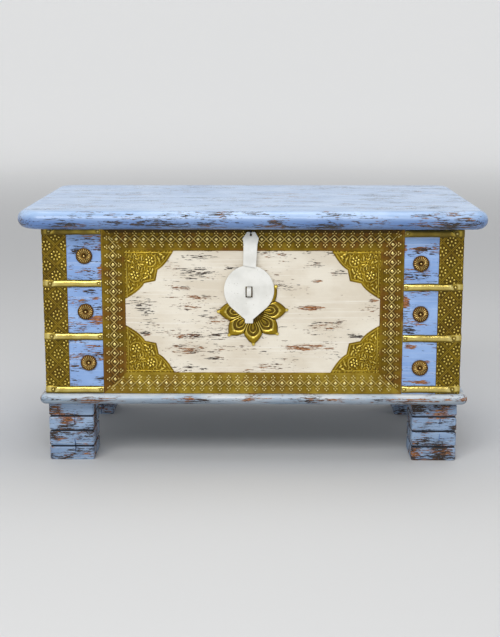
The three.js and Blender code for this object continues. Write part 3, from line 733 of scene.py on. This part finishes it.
def spandrel_heights(u, v, share):
    """Flowers of dots, curled stems and leaves inside a ridge that follows the outline.
    share is how far a point is from the square corner to the scalloped edge."""
    shapes = []
    for a, b in ((u, v), (v, u)):
        shapes += [
            1.2 * flower(a - 42.6, b - 17.1, 6, 5.4, 2.3, 1.7, 1.7, turn=0.3),
            0.6 * arc_ridge(a, b, 43.0, 17.5, 10.5, 300, 110, 0.9),
            0.5 * arc_ridge(a, b, 30.0, 12.0, 8.0, 60, 170, 0.8),
            0.6 * dome(b - 3.4, 0.9)]
        for height, *place in (
                (0.9, 18.5, 8.0, 60, 3.8, 1.6), (0.9, 20.5, 14.5, 40, 3.4, 1.5),
                (0.8, 29.5, 24.0, 12, 4.0, 1.5), (0.9, 62.0, 6.3, 20, 4.2, 1.6),
                (0.8, 66.0, 11.5, 140, 4.0, 1.5), (0.7, 58.5, 14.5, 60, 3.6, 1.3),
                (0.9, 47.5, 34.0, 110, 4.0, 1.7), (0.8, 29.0, 13.0, 80, 3.4, 1.3)):
            shapes.append(height * leaf(a, b, *place))
    relief = highest(*shapes, flower(u - 40.5, v - 40.5, 5, 5.0, 2.0, 1.6, 1.6, turn=0.8),
                     leaf(u, v, 9.5, 9.5, 45, 4.2, 1.8), 0.9 * leaf(u, v, 25.5, 25.5, 45, 4.5, 1.8),
                     0.4 * dome((1 - share) * 60 - 3.2, 1.0) * (share > 0.5))
    sprigs = np.clip(wobble(17, u, v, size=6.0) + 0.6 * wobble(18, u, v, size=4.2), 0, 1)
    relief = np.maximum(relief, 0.5 * sprigs * (relief < 0.05) * step((1 - share) * 60, 4.0, 6.0))
    return 0.5 + relief * step(1 - share, 0.0, 0.02)


PETAL = 45.0                    # degrees from one petal of the lotus to the next
LOTUS_TIP, TIP_BEAD = 59.1, 2.7 # how far the bead on a petal's tip is from the middle, and its radius


def lotus_reach(angle):
    """How far the lotus reaches at an angle: eight pointed petals, each with a bead on its tip."""
    off = np.abs(wrapped(np.degrees(angle), PETAL))
    body = 42.6 + 0.75 * (PETAL / 2 - off) + 0.5 * np.sin(math.pi * (PETAL / 2 - off) / (PETAL / 2))
    across = LOTUS_TIP * np.sin(np.radians(off))
    bead = LOTUS_TIP * np.cos(np.radians(off)) + np.sqrt(np.clip(TIP_BEAD ** 2 - across ** 2, 0, None))
    return np.where(across < TIP_BEAD * 0.96, bead, body)


def from_drop(s, t, start, end, width):
    """How far a point lies outside a drop, pointed at its start and round at its end; negative inside."""
    share = np.linspace(0, 1, 90)
    along, half = start + (end - start) * share, width * np.sin(math.pi * share ** 1.9) ** 0.72
    away = np.full(s.shape, 1e3)
    for a, b in zip(along, half):
        away = np.minimum(away, np.hypot(s - a, t - b))
    inside = (t < np.interp(s, along, half)) & (s > start) & (s < end)
    return np.where(inside, -away, away)


def pillow(distance, edge):
    """0 at an edge and 1 from edge millimetres inside it, like the rounded rim of a cushion."""
    return np.sqrt(1 - (1 - np.clip(distance, 0, edge) / edge) ** 2)


def lotus_lines(r, angle):
    """For a point of a petal: how far it is outside its drop, outside the drop's ridge and outside its
    boss, how high the bead on the tip stands there, and how far the seam to the next petal is."""
    off = np.radians(wrapped(np.degrees(angle), PETAL))
    s, t = r * np.cos(off), np.abs(r * np.sin(off))
    drop, ridge = from_drop(s, t, 8, 44.5, 9.6), from_drop(s, t, 12, 39.0, 6.0)
    boss, bead = from_drop(s, t, 15, 34, 2.9), dome(np.hypot(s - LOTUS_TIP, t), TIP_BEAD)
    seam = r * np.sin(np.clip(math.radians(PETAL / 2) - np.abs(off), 0, None))
    return drop, ridge, boss, bead, seam


def lotus_heights(r, angle, share):
    drop, ridge, boss, bead, seam = lotus_lines(r, angle)
    rim = np.minimum(np.minimum((1 - share) * lotus_reach(angle) * 0.9, drop), seam)
    relief = highest(np.where(drop > 0, 0.6 + 2.9 * pillow(rim, 5.2), 0.5), 0.4 + 1.6 * dome(ridge, 1.5),
                     np.where(boss < 0, 0.6 + 2.0 * pillow(-boss, 2.8), 0), 3.4 * bead)
    rough = 0.1 * wobble(9, r * np.cos(angle), r * np.sin(angle), size=30)
    return 0.4 + relief * (0.15 + 0.85 * step(r, 13.0, 18.0)) + rough


def lotus_dark(r, angle):
    """Painted shade and highlight on the lotus: painted shade round its middle, which the hasp disc
    covers, behind the slot, in the seams and at its edge, and darker in the drops. The crest round each
    drop and the beads get painted highlights."""
    drop, ridge, boss, bead, seam = lotus_lines(r, angle)
    edge = np.clip(lotus_reach(angle) - r, 0, 9)
    hollow_and_shade = (drop < 0.4) * (1 - np.clip(1.5 * np.maximum(dome(ridge, 1.5), pillow(-boss, 1.5)), 0, 1))
    shade = highest(0.08 * hollow_and_shade, 0.25 * dome(seam, 1.5) * (r < 44),
                    0.4 * (1 - step(edge, 0.2, 6.0)) * (bead < 0.1))
    shade -= 0.3 * dome(drop - 2.0, 1.6) * (drop > 0) + 0.7 * (bead > 0.3)
    # painted shade round the middle, which the hasp disc covers, and behind the slot
    middle = 1 - step(r, 15.0, 22.0)
    behind_slot = 1 - step(np.hypot(r * np.cos(angle), r * np.sin(angle) - 33.6), 11.0, 14.0)
    return np.where(middle + behind_slot > 0.05, 1.5 * np.maximum(middle, behind_slot), shade)


def rosette_heights(r, angle, seed):
    """A ribbed ring like a turned button round a dish with a nail in it."""
    ribs = 0.5 + 0.5 * np.cos(20 * angle)
    ring = np.sqrt(np.clip(1 - ((r - 8.6) / 6.1) ** 2, 0, 1))
    relief = 0.9 + 2.6 * ring + 0.9 * ribs * ring * step(r, 3.5, 6.0)
    relief = np.maximum(relief, 1.4 + 3.1 * dome(r, 2.3))
    return relief + 0.25 * wobble(seed, r * np.cos(angle), r * np.sin(angle), size=14)


def rosette_dark(r, angle):
    """Painted shade and highlight on a rosette: darker in its dish, painted shade on its outer slope, and
    painted highlights on its ribs, darker between them, and on the nail in its middle.
    """
    dish = step(r, 1.9, 2.6) * (1 - step(r, 3.2, 5.4))
    ribs = np.cos(20 * angle) * step(r, 4.0, 6.5) * (1 - step(r, 12.0, 14.0))
    return np.maximum(0.4 * dish, 0.55 * step(r, 9.5, 14.0)) - 0.22 * ribs - 0.8 * (r < 1.9)


# ---- brass pieces

def round_corner(side):
    """Where a point lies that is at along the case front to its corner, and on along its side."""
    bend = 0.8

    def place(at, z, out):
        angle = np.clip((at + bend) / (2 * bend), 0, 1) * math.pi / 2
        x = CASE_HALF - bend + np.minimum(at + bend, 0) + (bend + out) * np.sin(angle)
        y = bend - (bend + out) * np.cos(angle) + np.maximum(at - bend, 0)
        return np.stack([MIDDLE + side * x * MM, FACE + y * MM, BOTTOM + z * MM], axis=-1)
    return place


def add_corner_strips():
    for name, side, pattern in (("left", -1, (22.8, 16.6, 242.8)), ("right", 1, (20.8, 15.6, 233.4))):
        node = name + "_corner_strip"
        at = np.linspace(-CORNER_REACH, CORNER_REACH, int(2 * CORNER_REACH / GRID) + 1)
        z = np.linspace(0.3, CASE_HEIGHT - 0.3, int(CASE_HEIGHT / GRID))
        grid_at, grid_z = np.meshgrid(at, z, indexing="ij")
        heights = softened(strip_heights(grid_at, grid_z, *pattern), 1)
        mesh = relief_mesh(node, at, z, heights, round_corner(side))
        finished(name + "_embossed_corner", mesh, brass["strip_brass"], "case", (node,), "embossed_brass")


def add_bands():
    for name, side in (("left", -1), ("right", 1)):
        for number in range(1, 5):
            node = f"{name}_band_{number}"
            left, right, low, high = front_box(node)
            middle, half = (low + high) / 2, (high - low) / 2
            inner_end = -(CASE_HALF - min(abs(left), abs(right)))
            at = np.concatenate([np.linspace(inner_end, -2, 62), np.linspace(-1.6, 1.6, 9),
                                 np.linspace(2, BAND_RETURN, 12)])
            z = middle - half * np.cos(np.linspace(0, math.pi, 17))
            grid_at, grid_z = np.meshgrid(at, z, indexing="ij")
            base = 0.2 + 0.4 * step(grid_at, -CORNER_REACH - 4.0, -CORNER_REACH + 0.5)
            slant = grid_at + 0.45 * (grid_z - middle)
            flat = step(slant, -17.5, -14.0)
            start = step(grid_at - inner_end, 0.0, 5.0)
            uneven = 0.2 * wobble(number * 7 + 1 + side, grid_at, size=40)
            total = 4.8 - 2.6 * flat - 1.1 * (1 - start) + uneven - 0.8 * step(grid_at, -7.0, 0.0)
            profile = np.sqrt(np.clip(1 - ((grid_z - middle) / half) ** 2, 0, 1))
            profile = profile * (1 - flat) + flat * profile ** 0.5
            heights = base + (total - base) * profile
            # the top band lies in the lid's shadow: painted shadow
            shade = 0.55 if high > CASE_HEIGHT - 6 else 0.0
            # a darker ring round each nail, in the dent it sits in: painted shade
            for nail_at in (inner_end + NAIL_IN, -NAIL_OUT):
                away = np.hypot(grid_at - nail_at, grid_z - middle)
                heights -= 1.1 * np.exp(-(away / 3.6) ** 2) * (profile > 0.05)
                shade = np.maximum(shade, 0.9 * np.exp(-(away / 3.2) ** 4))
            crease = np.exp(-((slant + 16.5) / 1.0) ** 2) * profile
            heights -= 0.3 * crease
            # painted shade along the lower and upper edges and in the crease; the flattened end is lightened,
            # a painted highlight
            above = (grid_z - middle) / half
            edges = 0.9 * step(-above, 0.3, 0.9) + 0.5 * step(above, 0.7, 1.0)
            shade = highest(shade, 0.25 * crease, edges) - 0.3 * flat
            wave = 0.35 * wobble(number + 60 + 20 * side, grid_at, size=60)
            mesh = relief_mesh(node, at, z, heights, dark=shade,
                               place=lambda a, v, out: round_corner(side)(a, v + wave, out))
            finished(f"{name}_half_round_{number}", mesh, brass["band_brass"], "case", (node,),
                     "half_round_brass")


def add_border():
    outer_left, inner_left = front_box("border_left")[:2]
    inner_right, outer_right = front_box("border_right")[:2]
    inner_low, inner_high = front_box("border_bottom")[3], front_box("border_top")[2]
    outer = ((outer_left, outer_right), (0.0, CASE_HEIGHT))
    inner = ((inner_left, inner_right), (inner_low, inner_high))
    # each strip's two ends: on the left or right, and low or high
    ends = {"border_top": ((0, 1), (1, 1)), "border_bottom": ((0, 0), (1, 0)),
            "border_left": ((0, 0), (0, 1)), "border_right": ((1, 0), (1, 1))}
    for seed, (node, pair) in enumerate(ends.items()):
        out_a, out_b, in_a, in_b = [np.array((xs[i], zs[k])) for xs, zs in (outer, inner) for i, k in pair]
        along_axis = 0 if node in ("border_top", "border_bottom") else 1
        length = abs(out_b - out_a)[along_axis]
        width = abs(in_a - out_a)[1 - along_axis]
        us, vs = (np.linspace(0, 1, int(extent / GRID) + 1) for extent in (length, width))

        def plan(u, v):
            u, v = u[..., None], v[..., None]
            return (1 - v) * ((1 - u) * out_a + u * out_b) + v * ((1 - u) * in_a + u * in_b)

        grid_u, grid_v = np.meshgrid(us, vs, indexing="ij")
        flat = plan(grid_u, grid_v)
        s, across = flat[..., along_axis], grid_v * width
        relief = border_heights(s - 5.0 * seed, across - width / 2)
        rim = highest(dome(across - 1.6, 0.8), dome(width - across - 1.6, 0.8),
                      dome(width - across - 3.6, 0.7))
        mitre = np.minimum(grid_u, 1 - grid_u) * length
        relief = np.maximum(relief * step(np.minimum(across, width - across), 2.2, 4.2), 0.22 * rim)
        relief = relief * step(mitre, 0.0, 1.2)
        heights = 0.5 + softened(relief, 1) + 0.16 * wobble(seed + 31, flat[..., 0], flat[..., 1], size=48)
        shade = 0.4 * (1 - step(across, 5.0, 13.0)) if node == "border_top" else 0.0
        mesh = relief_mesh(node, us, vs, heights, dark=shade,
                           place=lambda u, v, out: on_front(plan(u, v)[..., 0], out, plan(u, v)[..., 1]))
        metal = brass["bright_border" if node == "border_bottom" else "border_brass"]
        finished("embossed_" + node, mesh, metal, "case", (node,), "embossed_brass")


def add_spandrels():
    angles, reaches = spandrel_outline()
    phi = np.linspace(0, math.pi / 2, 150)
    rho = np.linspace(0.006, 1, 112)
    grid_phi, grid_rho = np.meshgrid(phi, rho, indexing="ij")
    reach = np.interp(grid_phi, angles, reaches)
    u, v = grid_rho * reach * np.cos(grid_phi), grid_rho * reach * np.sin(grid_phi)
    base = softened(spandrel_heights(u, v, grid_rho), 1)
    places = {"spandrel_lower_left": (1, 1), "spandrel_lower_right": (-1, 1),
              "spandrel_upper_right": (-1, -1), "spandrel_upper_left": (1, -1)}
    for seed, (node, (sx, sz)) in enumerate(places.items()):
        left, right, low, high = front_box(node)
        cx, cz = (left if sx > 0 else right), (low if sz > 0 else high)
        heights = base + 0.12 * wobble(seed + 71, u, v, size=40)

        def place(p, q, out):
            r = q * np.interp(p, angles, reaches)
            return on_front(cx + sx * (r * np.cos(p) - 0.5), out, cz + sz * (r * np.sin(p) - 0.5))

        mesh = relief_mesh(node, phi, rho, heights, place)
        finished("embossed_" + node, mesh, brass["spandrel_brass"], "case", (node,), "embossed_brass")


def round_relief(name, centre_x, centre_z, reach, heights, rings, turns, dark, turned=0.0):
    """A closed round ornament: heights(r, angle, share) over a reach that may change with the angle."""
    phi, rho = np.linspace(0, 2 * math.pi, turns, endpoint=False), np.linspace(0.004, 1, rings)
    grid_phi, grid_rho = np.meshgrid(phi, rho, indexing="ij")
    r = grid_rho * reach(grid_phi)

    def place(p, q, out):
        distance = q * reach(p)
        return on_front(centre_x + distance * np.cos(p + turned), out,
                        centre_z + distance * np.sin(p + turned))

    return relief_mesh(name, phi, rho, heights(r, grid_phi, grid_rho), place, wrap=True,
                       dark=dark(r, grid_phi))


def add_ornaments():
    left, right, low, high = front_box("lotus_ornament")
    mesh = round_relief("lotus", (left + right) / 2, (low + high) / 2, lotus_reach, lotus_heights, 96, 480,
                        lotus_dark, turned=math.radians(1.5))
    finished("lotus_flower", mesh, brass["lotus_brass"], "case", ("lotus_ornament",), "embossed_brass")
    for side in ("left", "right"):
        for number in (1, 2, 3):
            node = f"{side}_rosette_{number}"
            left, right, low, high = front_box(node)
            seed = number * 3 + (100 if side == "left" else 200)
            mesh = round_relief(node, (left + right) / 2, (low + high) / 2,
                                lambda p: 14.2 - 0.4 * np.abs(np.sin(10 * p)) + 0.2 * np.sin(2 * p + seed),
                                lambda r, p, share: rosette_heights(r, p, seed), 32, 160, rosette_dark)
            finished("ribbed_" + node, mesh, brass["rosette_brass"], "case", (node,), "rosette_brass")


def nail_points(x, out, z, radius=2.3, height=2.4, turns=14, rings=5):
    """A domed nail head on the case front, as rings of points from its rim to its top."""
    around = np.linspace(0, 2 * math.pi, turns, endpoint=False)
    made = []
    for lift in np.arange(rings) / (rings - 0.5) * math.pi / 2:
        r = radius * math.cos(lift)
        made.append(on_front(x + r * np.cos(around), out + height * math.sin(lift), z + r * np.sin(around)))
    return np.array(made)


def add_nails():
    """One small domed nail at the inner end of each band and one on its flattened end."""
    for name, side in (("left", -1), ("right", 1)):
        points, faces = [], []
        for number in range(1, 5):
            left, right, low, high = front_box(f"{name}_band_{number}")
            for at, out in ((min(abs(left), abs(right)) + NAIL_IN, 2.4), (CASE_HALF - NAIL_OUT, 0.9)):
                rings = nail_points(side * at, out, (low + high) / 2)
                faces += [[len(points) + i for i in face] for face in loft_faces(*rings.shape[:2])]
                points += rings.reshape(-1, 3).tolist()
        # the nails are set to a middling raised value, so they take the bright tone all over: a painted
        # highlight
        mesh = mesh_of(name + "_band_nails", points, faces, raised=np.full(len(points), 0.5))
        finished(name + "_band_nails", mesh, brass["band_brass"], "case", slot="half_round_brass")


# ---- hasp

def curve_of(name, lines, closed, bevel, dimensions="3D"):
    """A curve through points, with a round bevel."""
    curve = bpy.data.curves.new(name, "CURVE")
    curve.dimensions = dimensions
    curve.bevel_depth = bevel
    for line in lines:
        spline = curve.splines.new("POLY")
        spline.points.add(len(line) - 1)
        for point, place in zip(spline.points, line):
            point.co = (*place, 1)
        spline.use_cyclic_u = closed
    return curve


def outline_plate(name, node, outer, hole):
    """A flat plate with rounded edges, from outlines in case front coordinates."""
    low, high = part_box(node)
    edge = 0.6 * MM
    lines = [[(x * MM, z * MM, 0) for x, z in line] for line in (outer, hole)]
    curve = curve_of(name, lines, True, edge, "2D")
    curve.fill_mode = "BOTH"
    curve.extrude = (high.y - low.y) / 2 - edge
    curve.bevel_resolution = 3
    curve.offset = -edge
    plate = bpy.data.objects.new(name, curve)
    plate.matrix_world = (Matrix.Translation((MIDDLE, (low.y + high.y) / 2, BOTTOM))
                          @ Matrix.Rotation(math.pi / 2, 4, "X"))
    finished(name, evaluated_mesh(plate), white_iron, "hasp", (node,), "white_painted_iron")


def circle(cx, cz, radius, start, end, count):
    angles = np.radians(np.linspace(start, end, count))
    return [(cx + radius * math.cos(a), cz + radius * math.sin(a)) for a in angles]


def add_hasp():
    left, right, low, high = front_box("hasp_plate")
    x, radius = (left + right) / 2, (right - left) / 2
    tab_half, tab_top = 7.0, low + 7.0
    tab = [(tab_half * 0.85, low), (tab_half, low + 1.5), (tab_half, tab_top)]
    outer = ([(x + reach, z) for reach, z in tab] + circle(x, high - radius, radius, -45, 225, 72)
             + [(x - reach, z) for reach, z in tab[::-1]])
    slot_half, slot_low, slot_high = 6.0, 171.5, 190.5
    slot = [(x - slot_half, slot_low), (x - slot_half, slot_high), (x + slot_half, slot_high),
            (x + slot_half, slot_low)]
    outline_plate("hasp_disc", "hasp_plate", outer, slot)

    low, high = front_box("hasp_strap")[2:]
    shift, lean, lap = 0.92, 0.0436, 4.2

    def edge(height, width, way):
        """The strap's edge at a height above its foot: it leans a little to the right."""
        return x + shift + lean * (height - lap) + way * width / 2, low + height

    top = high - low
    widths = ((top - 22.0, 23.6), (top - 11.0, 27.4), (top, 13.6))
    outer = [edge(lap, 22.4, -1), edge(0.0, 22.4, 1)]
    outer += [edge(h, w, 1) for h, w in widths] + [edge(h, w, -1) for h, w in widths[::-1]]
    eye_left, eye_right = front_box("hasp_eye")[:2]
    outline_plate("hasp_bar", "hasp_strap", outer,
                  circle((eye_left + eye_right) / 2, high - 5.1, 2.0, 0, 345, 24)[::-1])


def add_eye():
    """A wire that comes down from the lid and closes in a ring through the strap."""
    low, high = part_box("hasp_eye")
    wire = (high.x - low.x) / 2
    ring = (high.y - low.y) / 2 - wire
    x, y, z = (low.x + high.x) / 2, (low.y + high.y) / 2, low.z + wire + ring
    angles = np.radians(np.linspace(90, 430, 30))
    points = [(x, y, high.z), (x, y, z + ring * 1.5)]
    points += [(x, y + ring * math.cos(a), z + ring * math.sin(a)) for a in angles]
    curve = curve_of("eye", [points], False, wire)
    curve.bevel_resolution = 4
    curve.use_fill_caps = True
    mesh = evaluated_mesh(bpy.data.objects.new("eye", curve))
    finished("hasp_ring", mesh, dark_iron, "lid", ("hasp_eye",), "white_painted_iron")


def add_staple():
    """A flat bar bent to a U, with its edges rounded by the smith and the paint."""
    low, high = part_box("staple")
    bar, bow = 2.8 * MM, 4.2 * MM
    middle, half = (low.z + high.z) / 2, (high.z - low.z) / 2
    bend = np.linspace(-math.pi / 2, math.pi / 2, 15)

    def along(inset):
        """The bar's outside or inside line, from the wood round the bend and back to the wood."""
        reach, tall = bow - inset, half - inset
        turned = [(low.y + bow - reach * math.cos(a), middle + tall * math.sin(a)) for a in bend]
        return [(high.y, middle - tall)] + turned + [(high.y, middle + tall)]

    line = along(0.0) + along(bar)[::-1]
    count = len(line)
    points = [(x, y, z) for x in (low.x, high.x) for y, z in line]
    faces = loft_faces(2, count)
    mesh = mesh_of("staple_bar", points, faces)
    source = bpy.data.objects.new("staple_bar", mesh)
    bevel = source.modifiers.new("edges", "BEVEL")
    bevel.width = 0.7 * MM
    bevel.segments = 3
    bevel.limit_method = "ANGLE"
    finished("bent_staple", evaluated_mesh(source), white_iron, "case", ("staple",), "white_painted_iron")


# ---- studio

def add_camera():
    camera = bpy.data.objects.new("camera", bpy.data.cameras.new("camera"))
    camera.data.lens = 72.2
    camera.location = (0.019, -2.3645, 0.688)
    pitch, yaw = math.radians(11.2), math.radians(-0.58)
    forward = Vector((math.sin(yaw) * math.cos(pitch), math.cos(yaw) * math.cos(pitch), -math.sin(pitch)))
    camera.rotation_euler = forward.to_track_quat("-Z", "Y").to_euler()
    bpy.context.scene.collection.objects.link(camera)
    bpy.context.scene.camera = camera


def add_light(name, location, target, size, power):
    lamp = bpy.data.lights.new(name, "AREA")
    lamp.shape = "RECTANGLE"
    lamp.size, lamp.size_y = size
    lamp.energy = power
    holder = bpy.data.objects.new(name, lamp)
    holder.location = location
    holder.rotation_euler = (Vector(target) - Vector(location)).to_track_quat("-Z", "Y").to_euler()
    bpy.context.scene.collection.objects.link(holder)


def add_studio():
    """A flat round floor, far wider than the chest, whose rim curves up to a pale wall all round."""
    flat_reach, bend, turns = 7.0, 6.0, 96
    profile = [(0.02, 0.0), (flat_reach, 0.0)]
    rim = np.radians(np.arange(5, 91, 5))
    profile += [(flat_reach + bend * math.sin(a), bend * (1 - math.cos(a))) for a in rim]
    around = np.linspace(0, 2 * math.pi, turns, endpoint=False)
    points = [(r * math.cos(a), r * math.sin(a), z) for r, z in profile for a in around]
    faces = loft_faces(len(profile), turns)[:-1]
    faces[-1].reverse()
    floor_mesh = bpy.data.meshes.new("floor")
    floor_mesh.from_pydata(points, [], faces)
    box = Paintbox("floor")
    distance = box.node("ShaderNodeVectorMath", {0: box.coordinates()}, operation="LENGTH")
    # further out the floor and its wall are paler and glow: painted light that keeps the far floor and wall
    # bright and lights the chest a little from low all round
    far = box.between(distance.outputs["Value"], 1.5, 9.0)
    box.set(Base_Color=box.mix(far, colour(208, 208, 207), colour(236, 236, 234)), Roughness=0.8)
    box.set(Emission_Color=(1, 1, 1, 1), Emission_Strength=box.math("MULTIPLY", far, 0.3))
    floor_mesh.materials.append(box.material)
    floor_mesh.shade_smooth()
    floor = bpy.data.objects.new("floor", floor_mesh)
    bpy.context.scene.collection.objects.link(floor)

    world = bpy.data.worlds.new("studio")
    world.use_nodes = True
    background = world.node_tree.nodes["Background"].inputs
    background["Color"].default_value = (0.93, 0.95, 1.0, 1.0)
    background["Strength"].default_value = 0.42
    bpy.context.scene.world = world
    add_light("key", (-0.6, -2.6, 2.3), (0, 0, 0.25), (2.6, 1.2), 60)
    add_light("ceiling", (0.3, 0.2, 3.0), (0, 0, 0.3), (3.0, 2.0), 34)
    bpy.context.scene.view_settings.view_transform = "Standard"


# ---- the whole picture

add_camera()
add_studio()
add_woodwork()
add_corner_strips()
add_bands()
add_border()
add_spandrels()
add_ornaments()
add_nails()
add_hasp()
add_eye()
add_staple()
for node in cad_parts:
    if "_hinge_" in node:
        repainted(node, hinge_steel)
